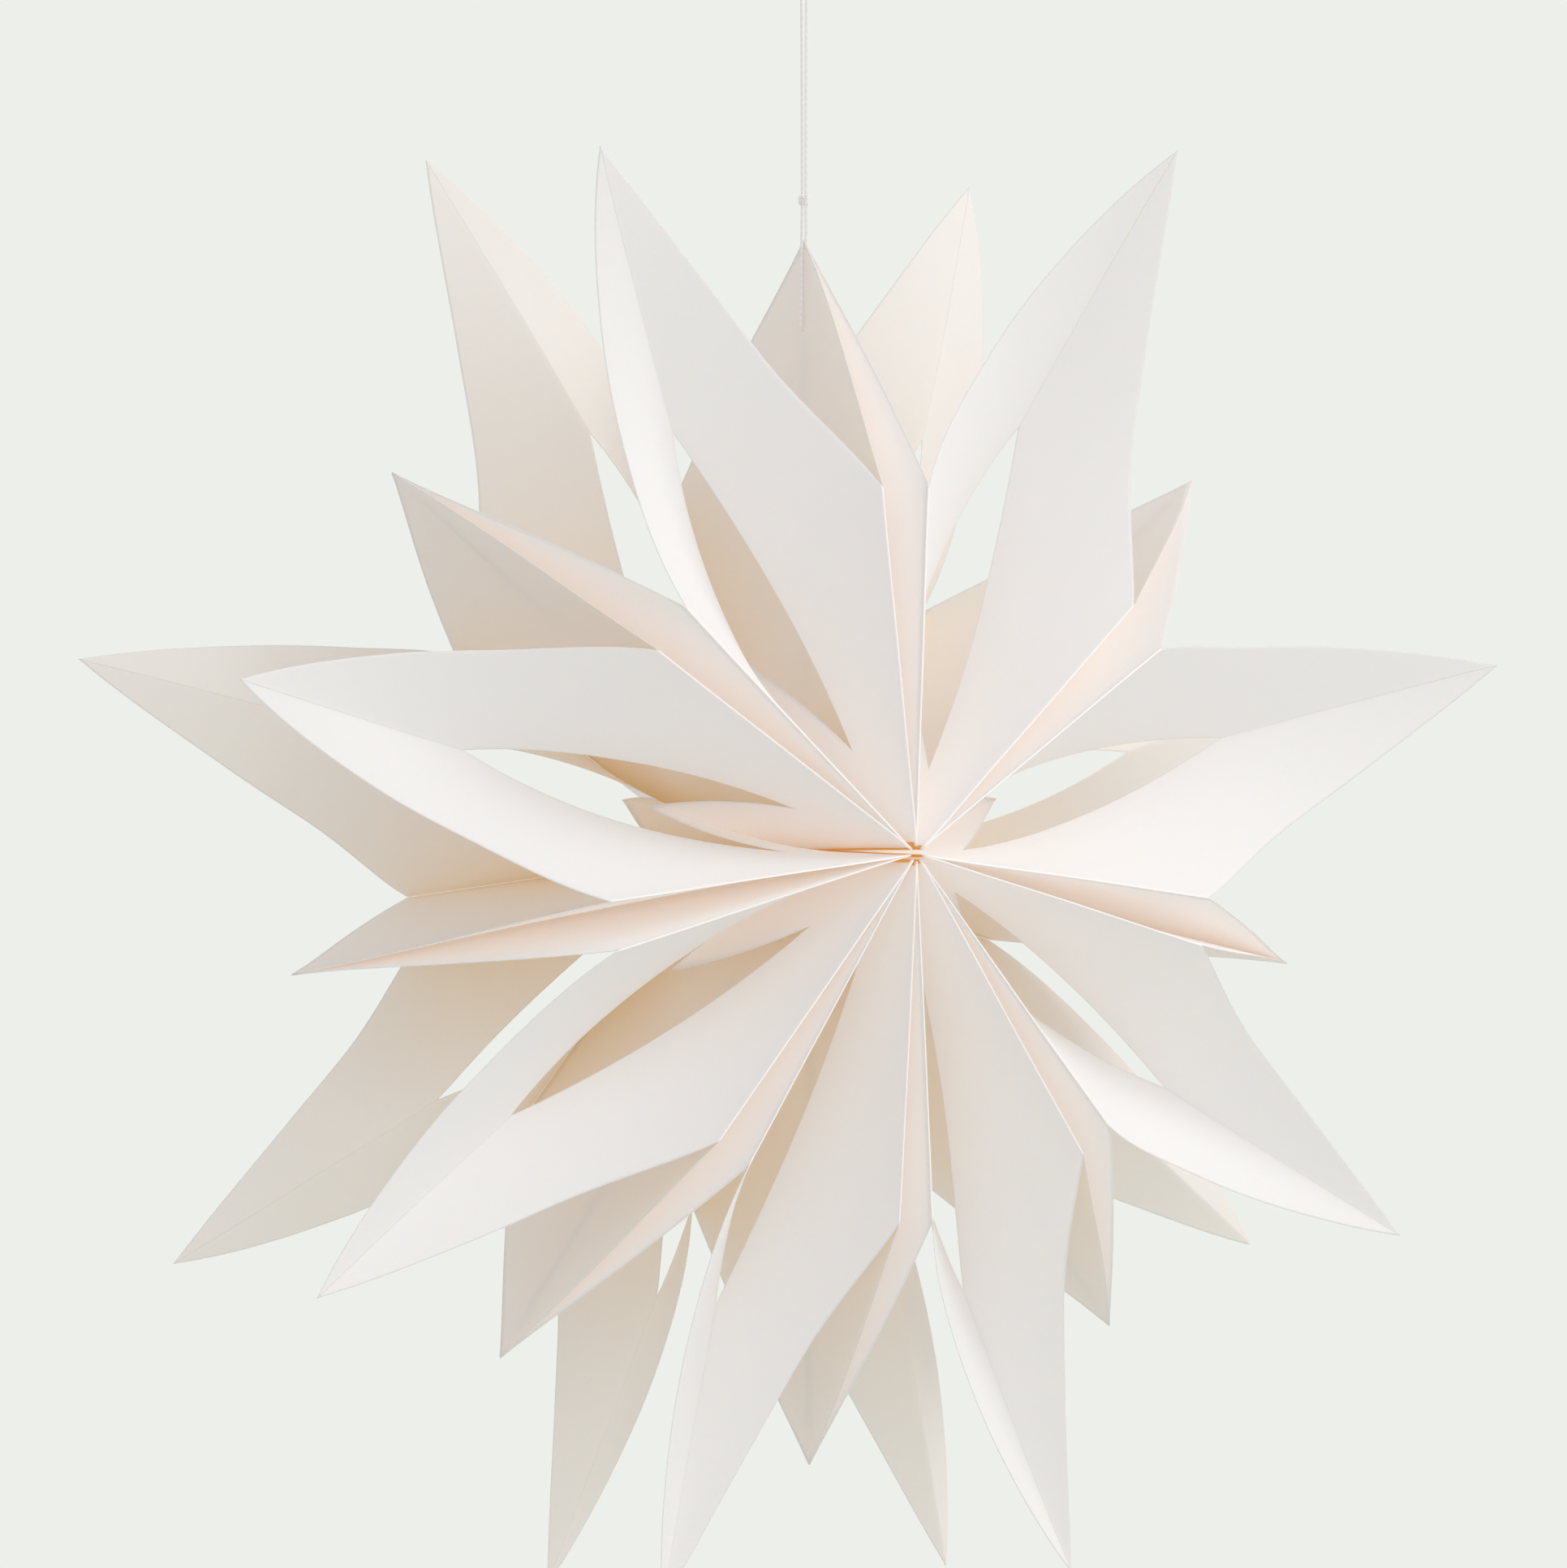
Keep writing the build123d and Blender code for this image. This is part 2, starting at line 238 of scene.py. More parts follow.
class PaperFinish:
    """White paper: faint fibres and cloudiness, folds painted brighter as a highlight, a painted warm glow in the
    hollows inside the bags, and painted shade and glow in the axis hole.
    """

    GROUP = "paper_surface"
    # Painted glow in hollows: the ambient occlusion reach, and the levels at which the warm emission starts and is
    # full.
    HOLLOW_REACH = 110 * MM
    HOLLOW_OPEN = 0.62
    HOLLOW_SHUT = 0.05
    # Painted glow on the folded edges, on top of their painted highlight colour.
    FOLD_LIGHT = (0.15, 0.135, 0.125)
    # The narrow hole along the axis: a dark brown colour that is painted shade, and a painted warm glow.
    CORE_PAINTED_SHADE = (0.50, 0.27, 0.09)
    CORE_LIGHT = (0.30, 0.15, 0.035)
    CORE_RADIUS = 4.8 * MM
    CORE_RIM = 1.5 * MM

    def __init__(self, centre: Vector, depth: float) -> None:
        """Builds the shared surface group.

        Args:
            centre: The middle of the star's axis.
            depth: The star's depth.
        """
        self.centre = centre
        self.depth = depth
        self.group = self._surface_group()

    def _surface_group(self) -> bpy.types.NodeTree:
        """Makes the node group with the paper's colour, its painted fold highlight and the painted shade in the axis
        hole, roughness and relief.
        """
        tree = bpy.data.node_groups.new(self.GROUP, "ShaderNodeTree")
        for name, kind, default in (
            ("Colour", "NodeSocketColor", (0.9, 0.9, 0.9, 1)),
            ("Fold Colour", "NodeSocketColor", (1, 1, 1, 1)),
            ("Cloudiness", "NodeSocketFloat", 0.02),
        ):
            socket = tree.interface.new_socket(name, in_out="INPUT", socket_type=kind)
            socket.default_value = default
        tree.interface.new_socket("Colour", in_out="OUTPUT", socket_type="NodeSocketColor")
        tree.interface.new_socket("Roughness", in_out="OUTPUT", socket_type="NodeSocketFloat")
        for name in ("Height", "Fold", "Core"):
            tree.interface.new_socket(name, in_out="OUTPUT", socket_type="NodeSocketFloat")
        nodes, links = tree.nodes, tree.links
        given, result = nodes.new("NodeGroupInput"), nodes.new("NodeGroupOutput")
        place = nodes.new("ShaderNodeTexCoord").outputs["Object"]

        clouds = nodes.new("ShaderNodeTexNoise")
        clouds.inputs["Scale"].default_value = 28
        clouds.inputs["Detail"].default_value = 4
        fibres = nodes.new("ShaderNodeTexNoise")
        fibres.inputs["Scale"].default_value = 1800
        fibres.inputs["Detail"].default_value = 3
        for texture in (clouds, fibres):
            links.new(place, texture.inputs["Vector"])

        centred = self._math(nodes, "SUBTRACT", second=0.5)
        links.new(clouds.outputs["Fac"], centred.inputs[0])
        scaled = self._math(nodes, "MULTIPLY")
        links.new(centred.outputs[0], scaled.inputs[0])
        links.new(given.outputs["Cloudiness"], scaled.inputs[1])
        shade = self._math(nodes, "ADD", second=1.0)
        links.new(scaled.outputs[0], shade.inputs[0])
        tinted = nodes.new("ShaderNodeVectorMath")
        tinted.operation = "SCALE"
        links.new(given.outputs["Colour"], tinted.inputs[0])
        links.new(shade.outputs[0], tinted.inputs["Scale"])

        fold = nodes.new("ShaderNodeAttribute")
        fold.attribute_name = "fold"
        # Folded edges take a brighter colour: a painted highlight.
        painted_fold_highlight = nodes.new("ShaderNodeMix")
        painted_fold_highlight.data_type = "RGBA"
        links.new(fold.outputs["Fac"], painted_fold_highlight.inputs["Factor"])
        links.new(tinted.outputs["Vector"], painted_fold_highlight.inputs[6])
        links.new(given.outputs["Fold Colour"], painted_fold_highlight.inputs[7])
        core = self._core(nodes, links, place)
        # The narrow hole along the axis takes a dark brown colour: painted shade.
        deep = nodes.new("ShaderNodeMix")
        deep.data_type = "RGBA"
        deep.inputs[7].default_value = (*self.CORE_PAINTED_SHADE, 1)
        links.new(core, deep.inputs["Factor"])
        links.new(painted_fold_highlight.outputs[2], deep.inputs[6])
        links.new(deep.outputs[2], result.inputs["Colour"])
        links.new(fold.outputs["Fac"], result.inputs["Fold"])
        links.new(core, result.inputs["Core"])

        rough = nodes.new("ShaderNodeMapRange")
        rough.inputs["To Min"].default_value = 0.72
        rough.inputs["To Max"].default_value = 0.88
        links.new(fibres.outputs["Fac"], rough.inputs["Value"])
        links.new(rough.outputs["Result"], result.inputs["Roughness"])
        links.new(fibres.outputs["Fac"], result.inputs["Height"])
        return tree

    def _core(
        self, nodes: bpy.types.Nodes, links: bpy.types.NodeLinks, place: bpy.types.NodeSocket
    ) -> bpy.types.NodeSocket:
        """How far a point lies in the narrow hole along the axis, behind its white rim."""
        offset = nodes.new("ShaderNodeVectorMath")
        offset.operation = "SUBTRACT"
        offset.inputs[1].default_value = self.centre
        links.new(place, offset.inputs[0])
        flat = nodes.new("ShaderNodeVectorMath")
        flat.operation = "MULTIPLY"
        flat.inputs[1].default_value = (1, 0, 1)
        links.new(offset.outputs["Vector"], flat.inputs[0])
        radius = nodes.new("ShaderNodeVectorMath")
        radius.operation = "LENGTH"
        links.new(flat.outputs["Vector"], radius.inputs[0])
        near_axis = self._range(nodes, self.CORE_RADIUS, self.CORE_RADIUS - 0.6 * MM)
        links.new(radius.outputs["Value"], near_axis.inputs["Value"])
        parts = nodes.new("ShaderNodeSeparateXYZ")
        links.new(offset.outputs["Vector"], parts.inputs[0])
        depth = self._math(nodes, "ABSOLUTE")
        links.new(parts.outputs["Y"], depth.inputs[0])
        rim = self.depth / 2 - self.CORE_RIM
        behind_rim = self._range(nodes, rim, rim - 0.4 * MM)
        links.new(depth.outputs[0], behind_rim.inputs["Value"])
        both = self._math(nodes, "MULTIPLY")
        links.new(near_axis.outputs["Result"], both.inputs[0])
        links.new(behind_rim.outputs["Result"], both.inputs[1])
        return both.outputs[0]

    @staticmethod
    def _range(nodes: bpy.types.Nodes, low: float, high: float) -> bpy.types.Node:
        """A node that runs from 0 at one value to 1 at another."""
        node = nodes.new("ShaderNodeMapRange")
        node.inputs["From Min"].default_value = low
        node.inputs["From Max"].default_value = high
        return node

    @staticmethod
    def _math(nodes: bpy.types.Nodes, operation: str, second: float = 0.0) -> bpy.types.Node:
        """A maths node with its second value set."""
        node = nodes.new("ShaderNodeMath")
        node.operation = operation
        node.inputs[1].default_value = second
        return node

    def material(self, name: str, colour: Colour, fold: Colour, soak: Colour) -> bpy.types.Material:
        """Makes a paper material.

        Args:
            name: The material's name.
            colour: The sheet's own colour.
            fold: The colour of its folded edges, brighter than the sheet as a painted highlight.
            soak: A painted glow, emitted where ambient occlusion shows sheets lying close together, standing in for
                light bounced between and shone through them.

        Returns:
            The finished material.
        """
        material = bpy.data.materials.new(name)
        material.use_nodes = True
        nodes, links = material.node_tree.nodes, material.node_tree.links
        shader = nodes["Principled BSDF"]
        surface = nodes.new("ShaderNodeGroup")
        surface.node_tree = self.group
        surface.inputs["Colour"].default_value = (*colour, 1)
        surface.inputs["Fold Colour"].default_value = (*fold, 1)
        links.new(surface.outputs["Colour"], shader.inputs["Base Color"])
        links.new(surface.outputs["Roughness"], shader.inputs["Roughness"])
        bump = nodes.new("ShaderNodeBump")
        bump.inputs["Strength"].default_value = 0.12
        bump.inputs["Distance"].default_value = 0.05 * MM
        links.new(surface.outputs["Height"], bump.inputs["Height"])
        links.new(bump.outputs["Normal"], shader.inputs["Normal"])
        shader.inputs["Specular IOR Level"].default_value = 0.25
        shader.inputs["Subsurface Weight"].default_value = 0.5
        shader.inputs["Subsurface Radius"].default_value = (1.0, 0.8, 0.6)
        shader.inputs["Subsurface Scale"].default_value = 0.5 * MM

        # Painted glow: warm emission that grows with ambient occlusion, in place of light bounced between and shone
        # through close sheets.
        hollow = nodes.new("ShaderNodeAmbientOcclusion")
        hollow.samples = 8
        hollow.inputs["Distance"].default_value = self.HOLLOW_REACH
        share = self._range(nodes, self.HOLLOW_OPEN, self.HOLLOW_SHUT)
        links.new(hollow.outputs["AO"], share.inputs["Value"])
        glow = nodes.new("ShaderNodeMix")
        glow.data_type = "RGBA"
        glow.inputs[6].default_value = (0, 0, 0, 1)
        glow.inputs[7].default_value = (*soak, 1)
        links.new(share.outputs["Result"], glow.inputs["Factor"])
        light = glow.outputs[2]
        # Painted glow: the folds and the narrow hole along the axis emit a little extra light.
        for output, colour in (("Fold", self.FOLD_LIGHT), ("Core", self.CORE_LIGHT)):
            lit = nodes.new("ShaderNodeMix")
            lit.data_type = "RGBA"
            lit.inputs[7].default_value = (*colour, 1)
            links.new(surface.outputs[output], lit.inputs["Factor"])
            links.new(light, lit.inputs[6])
            light = lit.outputs[2]
        links.new(light, shader.inputs["Emission Color"])
        shader.inputs["Emission Strength"].default_value = 1.0
        return material


class SheetMesh:
    """A paper sheet built from grids that are laid over formulas and joined."""

    def __init__(self) -> None:
        """Starts an empty sheet."""
        self.mesh = bmesh.new()
        self.fold = self.mesh.verts.layers.float.new("fold")

    def patch(self, columns: int, rows: int, place: Place, fold: Callable[[float, float], float] | None = None) -> None:
        """Adds a grid.

        Args:
            columns: Faces across.
            rows: Faces along.
            place: Where a point of the unit square goes.
            fold: How near a point of the unit square is to a folded edge.
        """
        made = bmesh.ops.create_grid(self.mesh, x_segments=columns, y_segments=rows, size=0.5)
        for vertex in made["verts"]:
            across, along = vertex.co.x + 0.5, vertex.co.y + 0.5
            vertex.co = place(across, along)
            if fold:
                vertex[self.fold] = fold(across, along)

    def finish(self, name: str, towards: Callable[[Vector], Vector], paper: float) -> bpy.types.Object:
        """Joins the grids and gives the sheet its thickness.

        Args:
            name: The piece's name.
            towards: Which way the sheet's outside faces at a point.
            paper: The sheet's thickness.

        Returns:
            The piece.
        """
        bmesh.ops.remove_doubles(self.mesh, verts=self.mesh.verts, dist=0.02 * MM)
        bmesh.ops.recalc_face_normals(self.mesh, faces=self.mesh.faces)
        votes = 0.0
        for each in self.mesh.faces:
            each.smooth = True
            votes += each.normal.dot(towards(each.calc_center_median())) * each.calc_area()
        if votes < 0:
            bmesh.ops.reverse_faces(self.mesh, faces=self.mesh.faces)
        data = bpy.data.meshes.new(name)
        self.mesh.to_mesh(data)
        self.mesh.free()
        piece = bpy.data.objects.new(name, data)
        bpy.context.scene.collection.objects.link(piece)
        thickness = piece.modifiers.new("thickness", "SOLIDIFY")
        thickness.thickness = paper
        thickness.offset = 0
        thickness.material_offset = 1
        thickness.material_offset_rim = 2
        return piece


@dataclass
class Bag:
    """One gusseted bag: two panels, and a front and a back gusset in two halves each."""

    number: int
    ring: Ring
    plan: BagPlan
    papers: Sequence[bpy.types.Material]
    half_columns: int = 22
    rows: int = 56

    @property
    def name(self) -> str:
        """The bag's name, counting from 1."""
        return f"bag_{self.number + 1}"

    def boundary(self, side: Side) -> int:
        """Number of the glued boundary on a side."""
        return self.number if side is Side.RIGHT else self.number + 1

    def edge_angle(self, side: Side) -> float:
        """Angle about the axis of the front and back edges of a panel."""
        boundary = self.boundary(side)
        return self.ring.angles[boundary] + side.value * self.ring.flare(boundary, self.plan)

    def crease_angle(self, face: Face) -> float:
        """Angle of the bag's front or back crease."""
        middle = (self.ring.angles[self.number] + self.ring.angles[self.number + 1]) / 2
        return middle + (self.plan.front_twist if face is Face.FRONT else self.plan.back_twist)

    @property
    def half_opening(self) -> float:
        """Mean angle from the crease to the panels' edges."""
        return (self.edge_angle(Side.LEFT) - self.edge_angle(Side.RIGHT)) / 2

    def polar(self, radius: float, angle: float, depth: float) -> Vector:
        """A point from its distance to the star's axis, its angle seen from the front and its depth."""
        return self.ring.centre + Vector((radius * math.cos(angle), depth, radius * math.sin(angle)))

    def outwards(self, boundary: int) -> Vector:
        """Direction of a boundary, away from the axis."""
        angle = self.ring.angles[boundary]
        return Vector((math.cos(angle), 0, math.sin(angle)))

    def panel_point(self, side: Side, radius: float, depth: float) -> Vector:
        """A point on a panel's middle surface."""
        plan, boundary = self.plan, self.boundary(side)
        out = self.outwards(boundary)
        into_bag = Vector((-out.z, 0, out.x)) * side.value
        slope = math.tan(self.ring.flare(boundary, plan))
        grown = plan.edge_length / (plan.edge_length - plan.flare_from)
        rise = max(0.0, radius - plan.flare_from) * slope * grown
        stand_off = (plan.glue_room + plan.paper) / 2 + rise * abs(2 * depth / plan.depth) ** plan.flare_power
        place = self.ring.centre + out * radius + Vector((0, depth, 0)) + into_bag * stand_off
        if boundary in (0, self.ring.bags):
            place += Vector((out.z, 0, -out.x)) * plan.seam_pull(radius, depth)
        return place

    def panel_reach(self, depth: float) -> float:
        """Radius of a panel's pointed outline at a depth."""
        plan = self.plan
        share = 1 - min(1.0, abs(2 * depth / plan.depth))
        straight = lerp(plan.edge_length, plan.panel_tip, share)
        return straight + plan.outline_bow * math.sin(math.pi * share)

    def build_panel(self, side: Side) -> bpy.types.Object:
        """Makes a radial panel, from the axis to its pointed mid tip."""
        plan = self.plan
        half = plan.depth / 2 - plan.fold

        def place(across: float, along: float) -> Vector:
            depth = lerp(-half, half, across)
            radius = lerp(plan.start, self.panel_reach(depth), along)
            return self.waved(self.panel_point(side, radius, depth))

        sheet = SheetMesh()
        sheet.patch(2 * self.half_columns, self.rows, place)
        out = self.outwards(self.boundary(side))
        away = Vector((out.z, 0, -out.x)) * side.value
        piece = sheet.finish(f"{self.name}_{side.name.lower()}_panel_sheet", lambda point: away, plan.paper)
        self.dress(piece, side, f"{self.name}_{side.name.lower()}_panel", "panel_paper")
        return piece

    def gusset_point(self, side: Side, face: Face, radius: float, share: float) -> Vector:
        """A point on a gusset half; share is 0 on the crease, 1 at the edge and over 1 round the fold."""
        plan = self.plan
        angle = lerp(self.crease_angle(face), self.edge_angle(side), min(share, 1.0))
        depth = plan.crease_depth(radius, self.half_opening)
        half_width = max(radius * self.half_opening, 1e-6)
        softness = min(0.5, plan.crease_round / half_width)
        eased = (math.hypot(share, softness) - softness) / (math.hypot(1, softness) - softness)
        y = face.value * (plan.depth / 2 - (1 - eased) * depth)
        return self.polar(radius, angle, y)

    def fold_point(self, side: Side, face: Face, radius: float, share: float) -> Vector:
        """A point on the rounded fold between a gusset and its panel, from 0 on the gusset to 1 on the panel."""
        plan = self.plan
        edge_y = face.value * plan.depth / 2
        inner_share = 1 - plan.fold / plan.gusset
        on_gusset = self.gusset_point(side, face, radius, inner_share)
        corner = self.panel_point(side, radius, edge_y)
        on_panel = self.panel_point(side, radius, edge_y - face.value * plan.fold)
        return on_gusset * (1 - share) ** 2 + corner * 2 * share * (1 - share) + on_panel * share**2

    def waved(self, point: Vector) -> Vector:
        """The point with the paper's slight waves, which are a function of place alone."""
        drift = noise.noise_vector((point - self.ring.centre) * 16)
        return point + drift * 0.35 * MM

    def build_gusset_half(self, side: Side, face: Face) -> bpy.types.Object:
        """Makes half a gusset: the ruled sheet from crease to edge, with its share of the cut-out and the fold."""
        plan = self.plan
        cusp_radius, cusp_share = plan.cusp
        inner_share = 1 - plan.fold / plan.gusset
        tongue_rows = self.rows // 4
        wing_rows = self.rows

        def at(radius: float, share: float) -> Vector:
            return self.waved(self.gusset_point(side, face, radius, share))

        def tongue(across: float, along: float) -> Vector:
            crowded = across**plan.crease_crowding
            reach = lerp(plan.tongue_tip, cusp_radius, crowded)
            return at(lerp(plan.start, reach, along), cusp_share * crowded)

        def wing(across: float, along: float) -> Vector:
            crowded = across**plan.crease_crowding
            share = cusp_share * crowded
            inner_edge = lerp(plan.cut_tip, cusp_radius, crowded)
            return at(lerp(inner_edge, curve_through(plan.outline, share), along), share)

        def root(across: float, along: float) -> Vector:
            return at(lerp(plan.start, cusp_radius, along), lerp(cusp_share, inner_share, across))

        def blade(across: float, along: float) -> Vector:
            share = lerp(cusp_share, inner_share, across)
            return at(lerp(cusp_radius, curve_through(plan.outline, share), along), share)

        def fold_root(across: float, along: float) -> Vector:
            return self.waved(self.fold_point(side, face, lerp(plan.start, cusp_radius, along), across))

        def fold_blade(across: float, along: float) -> Vector:
            end = curve_through(plan.outline, lerp(inner_share, 1.0, min(1.0, 2 * across)))
            return self.waved(self.fold_point(side, face, lerp(cusp_radius, end, along), across))

        def on_fold(across: float, along: float) -> float:
            return math.sin(math.pi * across)

        sheet = SheetMesh()
        inner, outer = self.half_columns, self.half_columns * 2 // 3
        sheet.patch(inner, tongue_rows, tongue)
        sheet.patch(inner, wing_rows, wing)
        sheet.patch(outer, tongue_rows, root)
        sheet.patch(outer, wing_rows, blade)
        sheet.patch(8, tongue_rows, fold_root, on_fold)
        sheet.patch(8, wing_rows, fold_blade, on_fold)
        name = f"{self.name}_{face.name.lower()}_gusset"
        out = Vector((0, face.value, 0))
        piece = sheet.finish(f"{name}_{side.name.lower()}_half", lambda point: out, plan.paper)
        self.dress(piece, side, name, "gusset_paper")
        return piece

    def dress(self, piece: bpy.types.Object, side: Side, node: str, slot: str) -> None:
        """Gives a sheet its papers and its body."""
        for paper in self.papers:
            piece.data.materials.append(paper)
        boundary = self.boundary(side)
        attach(piece, self.ring.body(boundary))
        tuple(self.ring.centre)
        self.ring.closed_share(self.number)
        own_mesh(piece)
        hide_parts(node)
        log.info("%s: %d faces, stands for %s", piece.name, len(piece.data.polygons), node)

    def build(self) -> None:
        """Makes the bag's sheets."""
        for side in Side:
            self.build_panel(side)
            for face in Face:
                self.build_gusset_half(side, face)


@dataclass(frozen=True)
class StrandFinish:
    """White braided cord: slanted strands in its relief and a little in its colour."""

    light: Colour = (0.97, 0.96, 0.965)
    dark: Colour = (0.91, 0.90, 0.905)
    strands_per_metre: float = 1500

    def material(self) -> bpy.types.Material:
        """Makes the cord's material."""
        material = bpy.data.materials.new("braided_cord")
        material.use_nodes = True
        nodes, links = material.node_tree.nodes, material.node_tree.links
        shader = nodes["Principled BSDF"]
        place = nodes.new("ShaderNodeTexCoord").outputs["Object"]
        braid = nodes.new("ShaderNodeTexWave")
        braid.bands_direction = "DIAGONAL"
        braid.inputs["Scale"].default_value = self.strands_per_metre / math.tau
        braid.inputs["Distortion"].default_value = 1.2
        links.new(place, braid.inputs["Vector"])
        shade = nodes.new("ShaderNodeMix")
        shade.data_type = "RGBA"
        shade.inputs[6].default_value = (*self.dark, 1)
        shade.inputs[7].default_value = (*self.light, 1)
        links.new(braid.outputs["Fac"], shade.inputs["Factor"])
        links.new(shade.outputs[2], shader.inputs["Base Color"])
        bump = nodes.new("ShaderNodeBump")
        bump.inputs["Strength"].default_value = 0.25
        bump.inputs["Distance"].default_value = 0.05 * MM
        links.new(braid.outputs["Fac"], bump.inputs["Height"])
        links.new(bump.outputs["Normal"], shader.inputs["Normal"])
        shader.inputs["Roughness"].default_value = 0.6
        shader.inputs["Sheen Weight"].default_value = 0.3
        return material


@dataclass(frozen=True)
class BondFinish:
    """What holds the bags together: dried glue or paper tape, with fine ripples across it."""

    name: str
    colour: Colour
    roughness: float
    ripples_per_metre: float

    def material(self) -> bpy.types.Material:
        """Makes the bond's material."""
        material = bpy.data.materials.new(self.name)
        material.use_nodes = True
        nodes, links = material.node_tree.nodes, material.node_tree.links
        shader = nodes["Principled BSDF"]
        ripples = nodes.new("ShaderNodeTexWave")
        ripples.inputs["Scale"].default_value = self.ripples_per_metre / math.tau
        ripples.inputs["Distortion"].default_value = 4
        links.new(nodes.new("ShaderNodeTexCoord").outputs["Object"], ripples.inputs["Vector"])
        shade = nodes.new("ShaderNodeMix")
        shade.data_type = "RGBA"
        shade.inputs[6].default_value = (*(0.93 * part for part in self.colour), 1)
        shade.inputs[7].default_value = (*self.colour, 1)
        links.new(ripples.outputs["Fac"], shade.inputs["Factor"])
        links.new(shade.outputs[2], shader.inputs["Base Color"])
        bump = nodes.new("ShaderNodeBump")
        bump.inputs["Strength"].default_value = 0.4
        bump.inputs["Distance"].default_value = 0.02 * MM
        links.new(ripples.outputs["Fac"], bump.inputs["Height"])
        links.new(bump.outputs["Normal"], shader.inputs["Normal"])
        shader.inputs["Roughness"].default_value = self.roughness
        return material

    def dress(self, nodes: Sequence[str]) -> None:
        """Puts the material on pieces that keep their CAD shape."""
        material = self.material()
        for node in nodes:
            piece = bpy.data.objects[node]
            piece.data.materials.clear()
            piece.data.materials.append(material)
            log.info("%s: keeps its shape, %s", node, self.name)


@dataclass
class Hanger:
    """The doubled cord from the hook, its round knot, and the thread loop through the top panels."""

    ring: Ring
    material: bpy.types.Material
    plan: BagPlan
    diameter: float = 1.3 * MM
    knot_at: float = 254.5 * MM
    knot_radius: float = 2.4 * MM
    knot_half_height: float = 2.3 * MM
    knot_gap: float = 0.05 * MM
    strand_in: float = 0.85 * MM
    strand_out: float = 1.5 * MM
    strand_below_hook: float = 0.9 * MM
    hook_drop: float = 15 * MM
    hook_spread: float = 2.2 * MM
    thread_hole: float = 204 * MM
    cord_length: float = 0.2013
    thread_length: float = 0.0983

    def seam_point(self, across: float, radius: float) -> Vector:
        """A point in the cross-section of the top seam at the star's middle depth."""
        angle = self.ring.angles[0]
        out = Vector((math.cos(angle), 0, math.sin(angle)))
        return self.ring.centre + out * radius + Vector((-out.z, 0, out.x)) * (across - self.plan.seam_pull(radius, 0))

    def strand(self, name: str, route: Sequence[Vector], closed: bool = False) -> bpy.types.Object:
        """Makes a round strand along a smooth line.

        Args:
            name: The piece's name.
            route: Its control points.
            closed: Whether the line runs back into itself.

        Returns:
            The piece.
        """
        data = bpy.data.curves.new(name, "CURVE")
        data.dimensions = "3D"
        data.bevel_depth = self.diameter / 2
        data.bevel_resolution = 4
        data.resolution_u = 12
        line = data.splines.new("NURBS")
        line.points.add(len(route) - 1)
        for point, place in zip(line.points, route):
            point.co = (*place, 1)
        line.order_u = 3
        line.use_endpoint_u = not closed
        line.use_cyclic_u = closed
        data.use_fill_caps = not closed
        data.materials.append(self.material)
        piece = bpy.data.objects.new(name, data)
        bpy.context.scene.collection.objects.link(piece)
        return piece

    def build_knot(self) -> bpy.types.Object:
        """Makes the knot: a strand that winds three times through itself."""
        turns, points = 3, 27
        swing = (self.knot_radius - self.diameter / 2) / 3
        rise = self.knot_half_height - self.diameter / 2
        middle = self.seam_point(0, self.knot_at)
        route = []
        for step in range(points):
            t = math.tau * step / points
            x = math.sin(t) + 2 * math.sin(2 * t)
            y = math.cos(t) - 2 * math.cos(2 * t)
            route.append(middle + Vector((x * swing, y * swing, -math.sin(turns * t) * rise)))
        knot = self.strand("knot_windings", route, closed=True)
        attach(knot, self.ring.body(0))
        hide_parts("cord_knot")
        return knot

    def build(self) -> None:
        """Makes the knot and both cords."""
        knot = self.build_knot()
        below = self.knot_at - self.knot_half_height - self.knot_gap
        near_hole = self.thread_hole + 2 * self.strand_out
        thread_route = [
            self.seam_point(-self.strand_in, below),
            self.seam_point(-self.strand_out, near_hole),
            self.seam_point(-self.strand_out, self.thread_hole),
            self.seam_point(self.strand_out, self.thread_hole),
            self.seam_point(self.strand_out, near_hole),
            self.seam_point(self.strand_in, below),
        ]
        thread = self.strand("thread", thread_route)
        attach(thread, self.ring.body(0))
        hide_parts("thread_loop")
        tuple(thread_route[0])
        above = self.seam_point(0, self.knot_at) + Vector((0, 0, self.knot_half_height + self.knot_gap))
        cord_route = [
            above + Vector((-self.strand_in, 0, 0)),
            Vector((-self.strand_below_hook, 0, -self.hook_drop)),
            Vector((-self.hook_spread, 0, self.diameter)),
            Vector((self.hook_spread, 0, self.diameter)),
            Vector((self.strand_below_hook, 0, -self.hook_drop)),
            above + Vector((self.strand_in, 0, 0)),
        ]
        cord = self.strand("cord", cord_route)
        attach(cord, "cord")
        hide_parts("hanging_cord")
        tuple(cord_route[0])
        log.info("hanger: cord, knot and thread loop")


